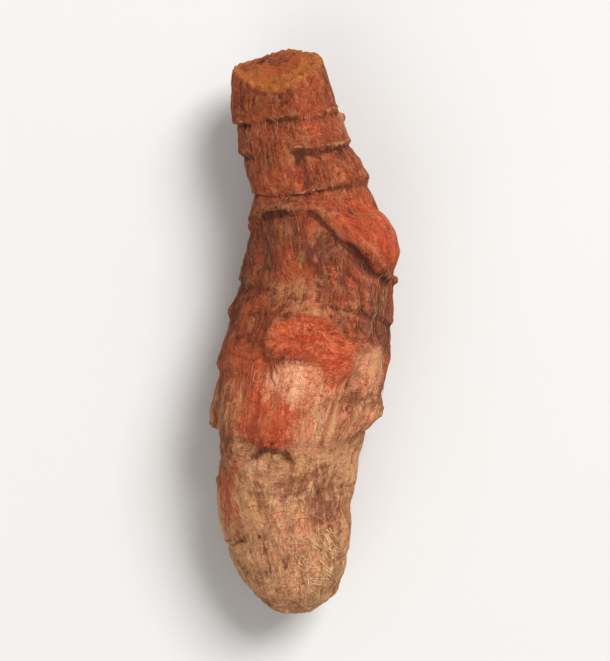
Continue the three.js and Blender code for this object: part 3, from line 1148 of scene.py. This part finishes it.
@dataclass
class RhizomeSkin:
    """The finger itself: a finer copy of the CAD body with its wrinkles, rings, scar and torn end.

    Each field that ends in step holds the values at which a smooth step is 0 and at which it is 1.
    """

    finger: Finger
    stubs: RootStubs
    voxel: float = 0.28
    merging: float = 0.001
    smoothing: int = 9
    resting_step: Span = (0.05, 0.5)
    lumps: tuple[Ripple, ...] = (
        Ripple((4.5, 4.5, 5.5), 1, 0.32),
        Ripple((2.2, 2.2, 2.8), 2, 0.24),
        Ripple((1.1, 1.1, 1.4), 13, 0.15),
        Ripple((0.55, 0.55, 3.6), 5, 0.06),
    )
    wrinkles: Ripple = Ripple((1.5, 1.5, 8.0), 3)
    wrinkle_cover: Ripple = Ripple((5.0, 5.0, 8.0), 4)
    wrinkle_step: Span = (-0.3, 0.4)
    wrinkle_depth: float = 0.2
    wrinkle_sharpness: int = 8
    line_spacing: float = 1.45
    line_drift: tuple[Ripple, ...] = (Ripple((5.0, 5.0, 7.0), 6, 3.4), Ripple((1.6, 1.6, 4.0), 7, 1.2))
    line_cover: Ripple = Ripple(3.0, 8)
    line_step: Span = (-0.25, 0.4)
    line_height: float = 0.07
    line_sharpness: int = 4
    ring_wander: Ripple = Ripple((1.2, 1.2, 3.0), 32, 0.35)
    lip_rag: Ripple = Ripple((0.8, 0.8, 1.0), 31, 0.8)
    lip_height: float = 0.36
    lip_width: float = 0.4
    groove_share: float = 1.5
    groove_away: float = 0.8
    groove_width: float = 0.36
    ring_line_width: float = 0.42
    bud_arch_width: float = 0.26
    scar: Patch = Patch(35.8, 89, 4.6, 4.6)
    scar_pits: Ripple = Ripple(1.1, 9)
    scar_grit: Ripple = Ripple(0.5, 10, 0.4)
    scar_depth: float = 0.26
    fold_wander: tuple[Ripple, Ripple] = (Ripple(1.5, 14, 0.5), Ripple(1.5, 15, 0.05))
    root_scar_edge: Ripple = Ripple(0.7, 33, 0.5)
    root_scar_pits: Ripple = Ripple(0.6, 34)
    root_scar_depth: float = 0.22
    torn_step: Span = (-0.35, 0.05)
    torn_lumps: tuple[Ripple, ...] = (Ripple(1.3, 11, 0.34), Ripple(0.5, 12, 0.2))
    core_share: float = 0.6
    core_ridge: float = 0.45
    core_width: float = 0.09
    core_blur: float = 0.1
    old_step: Span = (22.5, 26.5)
    hollow_step: Span = (0.02, 0.12)
    crest_step: Span = (0.015, 0.1)
    grain_swirl: tuple[Ripple, ...] = (Ripple((6.0, 6.0, 8.0), 16, 0.16), Ripple((2.2, 2.2, 3.5), 17, 0.07))
    grain_drift: Ripple = Ripple(5.0, 18, 1.2)
    blur: float = 0.6
    blur_rounds: int = 10
    folds: tuple[Fold, ...] = (
        Fold(
            ((51.4, 104), (49.9, 88), (48.3, 76), (47.3, 64), (46.1, 54), (45.9, 40), (46.4, 26)),
            0.42,
            0.55,
        ),
        Fold(((51.6, 72), (49.6, 63), (47.9, 54), (47.0, 40), (47.2, 28)), 0.3, -0.2),
        Fold(((31.0, 38), (29.9, 32), (28.6, 25)), 0.6, 0.2),
        Fold(((30.2, 66), (30.7, 55), (31.3, 45), (32.3, 34), (32.0, 22)), 0.45, -0.34),
        Fold(((38.8, 118), (40.6, 104), (41.2, 86), (38.9, 66), (35.5, 53), (32.2, 48)), 0.55, -0.24),
        Fold(((45.5, 66), (43.0, 60), (40.0, 56)), 0.45, 0.26),
        Fold(((44.0, 44), (41.5, 40), (38.5, 41)), 0.45, 0.24),
        Fold(((21.0, 62), (17.5, 56), (14.0, 58)), 0.5, 0.2),
    )

    def build(self, node: bpy.types.Object) -> bpy.types.Object:
        """Makes the skin from the CAD node.

        Args:
            node: The CAD node that it replaces.

        Returns:
            The finished piece.
        """
        piece = self._fine_copy(node)
        mesh = piece.data
        places = read_places(mesh)
        floor = places[:, 2].min()
        spots = self.finger.locate(places)
        relief = self._relief(spots)
        lifted = relief * smooth_step(places[:, 2] - floor, *self.resting_step)
        raised = places + read_normals(mesh) * lifted[:, None]
        raised[:, 2] = np.maximum(raised[:, 2], floor)
        write_places(mesh, raised)
        self._write_marks(mesh, raised, spots)
        mesh.shade_smooth()
        mesh.materials.clear()
        mesh.materials.append(RootSkinFinish().material())
        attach(piece, BODY)
        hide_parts(CAD_NODE)
        LOG.info("skin: %d vertices, relief %.2f to %.2f mm", len(mesh.vertices), relief.min(), relief.max())
        return piece

    def _fine_copy(self, node: bpy.types.Object) -> bpy.types.Object:
        """A copy of the node with an even fine mesh and softened facets.

        Args:
            node: The CAD node.

        Returns:
            The copy.
        """
        piece = bpy.data.objects.new("rhizome_skin", node.data.copy())
        bpy.context.scene.collection.objects.link(piece)
        select_only(piece)
        bpy.ops.object.mode_set(mode="EDIT")
        bpy.ops.mesh.select_all(action="SELECT")
        bpy.ops.mesh.remove_doubles(threshold=self.merging * MM)
        bpy.ops.object.mode_set(mode="OBJECT")
        apply_modifier(piece, "REMESH", mode="VOXEL", voxel_size=self.voxel * MM)
        apply_modifier(piece, "SMOOTH", factor=0.5, iterations=self.smoothing)
        return piece

    def _ring_relief(self, spots: SkinSpots, grain: Array) -> Array:
        """A crisp ragged lip on each ring, over the softened ridge, where the scale hasn't worn away.

        Args:
            spots: Where the vertices lie.
            grain: The same places on the straightened finger.

        Returns:
            The height at each vertex.
        """
        ragged = 1.0 + self.lip_rag.at(grain)
        wander = self.ring_wander.at(grain)
        relief = np.zeros_like(spots.along)
        for index, ring in enumerate(self.finger.rings):
            away = spots.along - ring.along + wander
            strength = self.lip_height * ring.ridge * self.finger.ring_presence(index, spots.angle)
            groove = self.groove_share * bell(away + self.groove_away, self.groove_width)
            relief += strength * ragged * (bell(away, self.lip_width) - groove)
        return relief

    def _fine_lines(self, spots: SkinSpots, grain: Array) -> Array:
        """Fine wandering lines round the finger, between the rings.

        Args:
            spots: Where the vertices lie.
            grain: The same places on the straightened finger.

        Returns:
            1 on a line and 0 between two, where there are lines.
        """
        drift = layered(self.line_drift, grain)
        wave = np.sin(spots.along * (2 * math.pi / self.line_spacing) + drift)
        line = np.maximum(0.0, wave) ** self.line_sharpness
        return line * smooth_step(self.line_cover.at(grain), *self.line_step)

    def _relief(self, spots: SkinSpots) -> Array:
        """Height of the skin over the smooth body.

        Args:
            spots: Where the vertices lie.

        Returns:
            The height at each vertex, in millimetres.
        """
        grain = self.finger.grain(spots.along, spots.angle, spots.share)
        furrow = (1.0 - np.abs(self.wrinkles.at(grain))) ** self.wrinkle_sharpness
        furrow *= 0.3 + 0.7 * smooth_step(self.wrinkle_cover.at(grain), *self.wrinkle_step)
        relief = (
            layered(self.lumps, grain)
            - self.wrinkle_depth * furrow
            + self.line_height * self._fine_lines(spots, grain)
            + self._ring_relief(spots, grain)
        )
        scar = self.finger.cover(spots.along, spots.angle, self.scar)
        pits = np.minimum(0.0, self.scar_pits.at(grain)) + self.scar_grit.at(grain)
        relief = relief * (1.0 - 0.5 * scar) + self.scar_depth * scar * pits
        along = spots.along + self.fold_wander[0].at(grain)
        angle = spots.angle + self.fold_wander[1].at(grain)
        for fold in self.folds:
            relief -= fold.depth * fold.nearness(along, angle, self.finger.grain_radius)
        pitted = 0.4 + np.abs(self.root_scar_pits.at(grain))
        relief -= self.root_scar_depth * self._root_scars(spots) * pitted
        torn = self._torn(spots)
        core = self.core_ridge * bell(spots.share - self.core_share, self.core_width)
        return relief * (1.0 - torn) + (layered(self.torn_lumps, grain) + core) * torn

    def _torn(self, spots: SkinSpots) -> Array:
        """How far each place belongs to the snapped end."""
        edge = self.finger.length + self.finger.ring_shift(len(self.finger.rings), spots.angle)
        return smooth_step(spots.reach - edge, *self.torn_step)

    def _write_marks(self, mesh: bpy.types.Mesh, places: Array, spots: SkinSpots) -> None:
        """Stores on the vertices what the finish reads.

        Args:
            mesh: The skin's mesh.
            places: Its vertices, in millimetres.
            spots: Where they lie on the finger.
        """
        finger = self.finger
        along, angle, share = spots.along, spots.angle, spots.share
        curl = self._curl(mesh, places)
        marks = {
            Mark.OLD: smooth_step(along, *self.old_step),
            # HOLLOW and RING mark where the finish paints shade, CREST where it paints a highlight over wear
            Mark.HOLLOW: smooth_step(curl, *self.hollow_step),
            Mark.CREST: smooth_step(-curl, *self.crest_step),
            Mark.RING: self._ring_lines(spots) + self._bud_lines(spots) + self._furrow_lines(spots),
            Mark.ROOT_SCAR: self._root_scars(spots),
            Mark.FLESH: self._torn(spots),
            Mark.CORE: smooth_step(self.core_share - share, -self.core_blur, self.core_blur),
        }
        for mark, patches in PATCHES.items():
            marks[mark] = np.maximum.reduce([finger.cover(along, angle, patch) for patch in patches])
        for mark, values in marks.items():
            stored = mesh.attributes.new(mark.value, "FLOAT", "POINT")
            stored.data.foreach_set("value", values.astype(np.float32))
        grain = finger.grain(along, angle, share)
        swirled = angle + layered(self.grain_swirl, grain)
        bent = finger.grain(along + self.grain_drift.at(grain), swirled, share)
        stored = mesh.attributes.new(Mark.GRAIN.value, "FLOAT_VECTOR", "POINT")
        stored.data.foreach_set("vector", bent.astype(np.float32).ravel())

    def _ring_lines(self, spots: SkinSpots) -> Array:
        """The painted shade line in the groove on the tip side of each ring, where its scale is left.

        Args:
            spots: Where the vertices lie.

        Returns:
            How dark it is at each vertex.
        """
        wander = self.ring_wander.at(self.finger.grain(spots.along, spots.angle))
        lines = np.zeros_like(spots.along)
        for index, ring in enumerate(self.finger.rings):
            boldness = self.finger.ring_presence(index, spots.angle) * min(1.0, 2.0 * ring.ridge**1.1)
            away = spots.along - ring.along + wander + self.groove_away
            lines += boldness * bell(away, self.ring_line_width)
        return lines

    def _furrow_lines(self, spots: SkinSpots) -> Array:
        """The painted shade in the bottoms of the furrows.

        Args:
            spots: Where the vertices lie.

        Returns:
            How dark each vertex is.
        """
        lines = np.zeros_like(spots.along)
        for fold in self.folds:
            if fold.depth > 0:
                near = fold.nearness(spots.along, spots.angle, self.finger.grain_radius)
                lines = np.maximum(lines, near * min(1.0, 1.8 * fold.depth))
        return lines

    def _bud_lines(self, spots: SkinSpots) -> Array:
        """The painted shade in the arch of the scale over each bud.

        Args:
            spots: Where the vertices lie.

        Returns:
            How dark each vertex is.
        """
        arches = np.zeros_like(spots.along)
        for bud in self.finger.buds:
            across = turn_from(spots.angle, math.radians(bud.side)) * self.finger.grain_radius / bud.radius
            beyond = (spots.along - bud.along + 0.2 * bud.radius) / bud.radius
            arch = bell(np.hypot(across, beyond) - 1.0, self.bud_arch_width)
            arches = np.maximum(arches, 1.4 * arch * smooth_step(beyond, -0.1, 0.5))
        return arches

    def _root_scars(self, spots: SkinSpots) -> Array:
        """The uneven scars that the rootlets left.

        Args:
            spots: Where the vertices lie.

        Returns:
            How near each vertex is to the middle of one.
        """
        nearest = np.zeros_like(spots.reach)
        uneven = 1.0 + self.root_scar_edge.at(self.finger.grain(spots.reach, spots.angle))
        for reach, angle, radius in self.stubs.spots():
            turned = turn_from(spots.angle, angle) * self.finger.grain_radius
            away = np.hypot(spots.reach - reach, turned) * uneven
            nearest = np.maximum(nearest, smooth_step(away, radius * 1.9, radius * 0.2))
        return nearest

    def _curl(self, mesh: bpy.types.Mesh, places: Array) -> Array:
        """How far the surface round each vertex rises above it.

        Args:
            mesh: The skin's mesh.
            places: Its vertices, in millimetres.

        Returns:
            The rise at each vertex, in millimetres: positive in a hollow.
        """
        pairs = np.empty(len(mesh.edges) * 2, np.int32)
        mesh.edges.foreach_get("vertices", pairs)
        first, second = pairs.reshape(-1, 2).T
        count = len(places)
        neighbours = np.bincount(first, minlength=count) + np.bincount(second, minlength=count)
        blurred = places.copy()
        for _ in range(self.blur_rounds):
            ahead = [np.bincount(first, blurred[second, axis], count) for axis in range(3)]
            behind = [np.bincount(second, blurred[first, axis], count) for axis in range(3)]
            average = np.column_stack(np.add(ahead, behind)) / neighbours[:, None]
            blurred = (1.0 - self.blur) * blurred + self.blur * average
        return np.einsum("ij,ij->i", blurred - places, read_normals(mesh))


@dataclass
class SkinSurface:
    """The finished skin as something that thin pieces can be laid on."""

    finger: Finger
    skin: bpy.types.Object
    probe: float = 25.0
    tree: BVHTree = field(init=False, repr=False)

    def __post_init__(self) -> None:
        """Makes a search tree of the skin."""
        corners = [tuple(face.vertices) for face in self.skin.data.polygons]
        self.tree = BVHTree.FromPolygons(read_places(self.skin.data).tolist(), corners)

    def touch(self, along: Sequence[float], angle: Sequence[float]) -> tuple[Array, Array]:
        """Finds the skin at these coordinates.

        Args:
            along: The distances along the finger.
            angle: The angles round it, in radians.

        Returns:
            The places on the skin and its normals there, one row each.
        """
        point, out = self.finger.outward(np.asarray(along, float), np.asarray(angle, float))
        places, normals = [], []
        for centre, direction in zip(point, out):
            start = Vector(centre + direction * self.probe)
            hit, normal, _, _ = self.tree.ray_cast(start, Vector(-direction))
            places.append(hit if hit else Vector(centre))
            normals.append(normal if hit else Vector(direction))
        return np.array(places, float), np.array(normals, float)


@dataclass
class LeafScales:
    """The ragged papery edges that the scale leaves left on the rings, pointing to the tip."""

    finger: Finger
    surface: SkinSurface
    finish: FibreFinish = FibreFinish("leaf_scale", (0.12, 0.033, 0.014), (0.42, 0.16, 0.075))
    columns: int = 260
    rows: int = 3
    longest: float = 1.7
    shortest: float = 0.25
    least_reach: float = 0.05
    tucked: float = 0.1
    clearance: float = 0.01
    lift: float = 0.07
    thickness: float = 0.04
    merging: float = 0.002
    ring_level: float = 3.7
    teeth: Ripple = Ripple((0.09, 0.09, 1.0), 6, 0.85)
    strands: Ripple = Ripple((0.014, 0.014, 1.0), 7, 0.6)

    def build(self) -> bpy.types.Object:
        """Makes the edges of all the rings.

        Returns:
            One piece that holds them.
        """
        edges = [self._edge(index) for index in range(len(self.finger.rings))]
        bpy.ops.object.select_all(action="DESELECT")
        for edge in edges:
            edge.select_set(True)
        bpy.context.view_layer.objects.active = edges[0]
        bpy.ops.object.join()
        piece = edges[0]
        piece.name = "leaf_scales"
        apply_modifier(piece, "SOLIDIFY", thickness=self.thickness * MM, offset=0.0)
        piece.data.shade_smooth()
        piece.data.materials.append(self.finish.material())
        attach(piece, BODY)
        LOG.info("leaf scales: %d faces", len(piece.data.polygons))
        return piece

    def _lengths(self, index: int, angles: Array) -> Array:
        """How far the edge of a ring reaches.

        Args:
            index: Which ring it is, from the tip.
            angles: The angles at which it is read.

        Returns:
            The length at each angle.
        """
        around = circle(angles, self.ring_level * index)
        ragged = (0.42 + self.teeth.at(around)) * (0.75 + self.strands.at(around))
        left = smooth_step(self.finger.ring_presence(index, angles), 0.2, 1.0)
        size = min(1.0, 1.9 * self.finger.rings[index].ridge)
        return self.longest * size * left * np.clip(ragged, 0.0, 1.1)

    def _edge(self, index: int) -> bpy.types.Object:
        """A grid wrapped round one ring, open where the leaf wore away.

        Args:
            index: Which ring it is, from the tip.

        Returns:
            The edge.
        """
        bpy.ops.mesh.primitive_grid_add(x_subdivisions=self.columns, y_subdivisions=self.rows, size=MM)
        piece = bpy.context.active_object
        piece.name = f"scale_edge_{index}"
        flat = read_places(piece.data)
        angles = (flat[:, 0] + 0.5) * 2 * math.pi
        share = 0.5 - flat[:, 1]
        lengths = self._lengths(index, angles)
        along = self.finger.rings[index].along + self.tucked - share * np.maximum(lengths, self.least_reach)
        places, normals = self.surface.touch(along, angles)
        rise = self.clearance + self.lift * share * (0.4 + 0.6 * lengths)
        places += normals * rise[:, None]
        places[:, 2] = np.maximum(places[:, 2], self.thickness)
        write_places(piece.data, places)
        self._open(piece, lengths)
        return piece

    def _open(self, piece: bpy.types.Object, lengths: Array) -> None:
        """Takes out the faces where the edge is too short, and closes the seam.

        Args:
            piece: The edge of one ring.
            lengths: How far it reaches at each vertex.
        """
        mesh = piece.data
        select_only(piece)
        bpy.ops.object.mode_set(mode="EDIT")
        bpy.ops.mesh.select_all(action="DESELECT")
        bpy.ops.object.mode_set(mode="OBJECT")
        for face in mesh.polygons:
            face.select = max(lengths[corner] for corner in face.vertices) < self.shortest
        bpy.ops.object.mode_set(mode="EDIT")
        bpy.ops.mesh.select_mode(type="FACE")
        bpy.ops.mesh.delete(type="FACE")
        bpy.ops.mesh.select_all(action="SELECT")
        bpy.ops.mesh.remove_doubles(threshold=self.merging * MM)
        bpy.ops.mesh.normals_make_consistent(inside=False)
        bpy.ops.object.mode_set(mode="OBJECT")


@dataclass(frozen=True)
class FibreBed:
    """A stretch of skin that carries fibres, and how they lie.

    It holds how many there are, where they start along and round the finger, how long they are, the angle in
    which they head, 0 away from the tip and 180 to it, how far that spreads, and their mean radius.
    """

    count: int
    along: Span
    side: Span
    length: Span
    heading: float
    spread: float
    radius: float = 0.035


@dataclass
class LooseFibres:
    """Loose fibres of the scale leaves, laid on the skin.

    A fibre's axis starts over the skin at a share of its radius, so that its root is sunk a little, and the
    rest of it lifts off.
    """

    finger: Finger
    surface: SkinSurface
    name: str
    finish: FibreFinish
    beds: tuple[FibreBed, ...]
    seed: int
    points: int = 7
    tip_margin: float = 1.6
    bending: float = 30.0
    lift: Span = (0.02, 0.2)
    stoutness: Span = (0.6, 1.4)
    taper: float = 0.6
    axis_share: float = 0.6

    def build(self) -> bpy.types.Object:
        """Makes all the fibres.

        Returns:
            One piece that holds them.
        """
        draw = random.Random(self.seed)
        curve = bpy.data.curves.new(self.name, "CURVE")
        curve.dimensions = "3D"
        curve.bevel_depth = MM
        curve.bevel_resolution = 0
        curve.use_fill_caps = True
        for bed in self.beds:
            for _ in range(bed.count):
                self._fibre(curve, bed, draw)
        piece = bpy.data.objects.new(self.name, curve)
        bpy.context.scene.collection.objects.link(piece)
        select_only(piece)
        bpy.ops.object.convert(target="MESH")
        piece.data.materials.clear()
        piece.data.materials.append(self.finish.material())
        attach(piece, BODY)
        LOG.info("%s: %d faces", self.name, len(piece.data.polygons))
        return piece

    def _fibre(self, curve: bpy.types.Curve, bed: FibreBed, draw: random.Random) -> None:
        """Adds one fibre, which starts on the skin and follows it.

        Args:
            curve: The curve that holds the fibres.
            bed: The stretch of skin that it grows on.
            draw: The random numbers.
        """
        along = draw.uniform(*bed.along)
        angle = math.radians(draw.uniform(*bed.side))
        heading = math.radians(bed.heading + draw.gauss(0.0, bed.spread))
        bend = math.radians(draw.gauss(0.0, self.bending))
        length = draw.uniform(*bed.length)
        lift = draw.uniform(*self.lift)
        radius = bed.radius * draw.uniform(*self.stoutness)
        alongs, angles = [along], [angle]
        step = length / (self.points - 1)
        for index in range(1, self.points):
            turned = heading + bend * index / self.points
            alongs.append(alongs[-1] + step * math.cos(turned))
            angles.append(angles[-1] + step * math.sin(turned) / self.finger.grain_radius)
        places, normals = self.surface.touch(np.maximum(alongs, self.tip_margin), angles)
        shares = np.linspace(0.0, 1.0, self.points)
        places += normals * (radius * self.axis_share + lift * shares * shares)[:, None]
        places[:, 2] = np.maximum(places[:, 2], 2.0 * radius)
        spline = curve.splines.new("POLY")
        spline.points.add(self.points - 1)
        for point, place, share in zip(spline.points, places, shares):
            point.co = (*(place * MM), 1.0)
            point.radius = radius * (1.0 - self.taper * share)


def scale_fibres(finger: Finger, surface: SkinSurface) -> LooseFibres:
    """The thin brown fibres of the body, with a fringe along each ring.

    Args:
        finger: The skin's coordinates.
        surface: What they are laid on.

    Returns:
        The fibres, to be built.
    """
    finish = FibreFinish("scale_fibre", (0.2, 0.07, 0.03), (0.54, 0.27, 0.145))
    all_round = (0.0, 360.0)
    fringes = []
    for ring in finger.rings:
        count = round(13 + 32 * ring.ridge)
        band = (ring.along - 0.3, ring.along + 0.3)
        fringes.append(FibreBed(count, band, all_round, (0.6, 2.4), 180, 20))
    beds = (
        FibreBed(50, (40.0, 48.0), (30.0, 80.0), (2.0, 5.0), 185, 16),
        FibreBed(30, (27.0, 33.0), (20.0, 60.0), (1.0, 3.0), 195, 22),
        FibreBed(40, (52.0, 70.0), (20.0, 170.0), (2.0, 5.0), 180, 12),
        FibreBed(60, (8.0, 70.0), (160.0, 380.0), (2.0, 5.0), 180, 20),
        *fringes,
    )
    return LooseFibres(finger, surface, "scale_fibres", finish, beds, seed=23)


def tip_fibres(finger: Finger, surface: SkinSurface) -> LooseFibres:
    """The thicker pale fibres that cross the skin near the tip.

    Args:
        finger: The skin's coordinates.
        surface: What they are laid on.

    Returns:
        The fibres, to be built.
    """
    finish = FibreFinish("tip_fibre", (0.46, 0.23, 0.1), (0.85, 0.59, 0.34))
    beds = (
        FibreBed(34, (5.0, 11.0), (44.0, 90.0), (2.5, 5.5), 222, 14, 0.055),
        FibreBed(26, (3.0, 6.0), (50.0, 110.0), (1.6, 4.0), 240, 26, 0.052),
        FibreBed(16, (8.0, 14.0), (60.0, 100.0), (1.5, 3.5), 200, 40, 0.042),
    )
    return LooseFibres(finger, surface, "tip_fibres", finish, beds, seed=29)


@dataclass(frozen=True)
class SoftLight:
    """A square light that faces the object: its power in watts, and its size and place in metres."""

    name: str
    power: float
    size: float
    place: Sizes

    def build(self) -> None:
        """Adds the light."""
        lamp = bpy.data.lights.new(self.name, "AREA")
        lamp.energy = self.power
        lamp.size = self.size
        holder = bpy.data.objects.new(self.name, lamp)
        holder.location = self.place
        holder.rotation_euler = (-Vector(self.place)).to_track_quat("-Z", "Y").to_euler()
        bpy.context.scene.collection.objects.link(holder)


@dataclass
class Studio:
    """A pale floor, soft light and a camera that looks straight down."""

    floor_size: float = 12.0
    lights: tuple[SoftLight, ...] = (
        SoftLight("key", 46.0, 0.95, (0.85, 1.0, 1.5)),
        SoftLight("fill", 15.0, 1.8, (-0.8, -1.6, 1.4)),
    )
    sky: Colour = (1.0, 0.99, 0.97)
    sky_strength: float = 0.38
    lens: float = 120.0
    sensor: float = 36.0
    object_share: float = 0.86

    def build(self, low: Vector, high: Vector) -> None:
        """Sets up the studio round the object.

        Args:
            low: The object's lowest corner, in metres.
            high: Its highest corner.
        """
        self._floor()
        for light in self.lights:
            light.build()
        world = bpy.data.worlds.new("studio")
        world.use_nodes = True
        background = world.node_tree.nodes["Background"]
        background.inputs["Color"].default_value = (*self.sky, 1.0)
        background.inputs["Strength"].default_value = self.sky_strength
        bpy.context.scene.world = world
        bpy.context.scene.view_settings.view_transform = "Standard"
        self._camera(low, high)

    def _floor(self) -> None:
        """Adds the floor."""
        bpy.ops.mesh.primitive_plane_add(size=self.floor_size, location=(0.0, 0.0, 0.0))
        floor = bpy.context.active_object
        floor.name = "floor"
        floor.data.materials.append(FloorFinish().material())
        floor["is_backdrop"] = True

    def _camera(self, low: Vector, high: Vector) -> None:
        """Adds the camera, with the object's length filling a share of the frame's height.

        Args:
            low: The object's lowest corner, in metres.
            high: Its highest corner.
        """
        data = bpy.data.cameras.new("camera")
        data.lens = self.lens
        data.sensor_width = self.sensor
        camera = bpy.data.objects.new("camera", data)
        middle = (low + high) / 2
        seen_height = (high.y - low.y) / self.object_share
        camera.location = (middle.x, middle.y, middle.z + seen_height * self.lens / self.sensor)
        bpy.context.scene.collection.objects.link(camera)
        bpy.context.scene.camera = camera


def main() -> None:
    """Builds the root and its studio."""
    logging.basicConfig(level=logging.INFO, format="%(name)s %(message)s")
    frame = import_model()
    cad_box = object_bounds()
    bpy.ops.object.select_all(action="DESELECT")
    finger = Finger()
    skin = RhizomeSkin(finger, RootStubs()).build(frame["nodes"][CAD_NODE])
    surface = SkinSurface(finger, skin)
    LeafScales(finger, surface).build()
    scale_fibres(finger, surface).build()
    tip_fibres(finger, surface).build()
    Studio().build(*cad_box)


if __name__ == "__main__":
    main()
